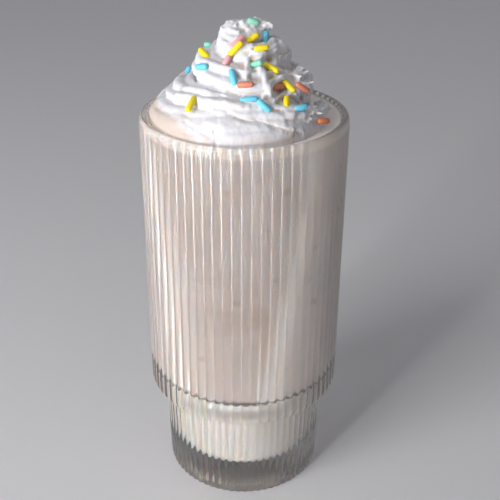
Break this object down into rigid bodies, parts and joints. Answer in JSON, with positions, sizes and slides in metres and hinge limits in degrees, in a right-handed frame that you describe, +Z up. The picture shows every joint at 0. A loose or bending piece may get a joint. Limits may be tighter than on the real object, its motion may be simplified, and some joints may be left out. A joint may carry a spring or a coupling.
{
  "type": "protein smoothie",
  "caption": "Protein smoothie in a tall ribbed clear tumbler, filled to the brim and topped with a piped swirl of whipped cream and sprinkles.",
  "frame": {"origin": "middle of the tumbler's foot, on the table", "axes": "+Z up along the tumbler's axis, -Y towards the front, +X to the right as seen from the front"},
  "size_m": [0.0818, 0.0818, 0.2016],
  "materials": {
    "clear_glass": "polished pressed glass",
    "smoothie": "wet, smooth, slightly frothy",
    "whipped_cream": "soft satin"
  },
  "bodies": {
    "root": {"glass": "clear_glass", "smoothie": "smoothie", "whipped_cream": "whipped_cream"}
  },
  "joints": []
}
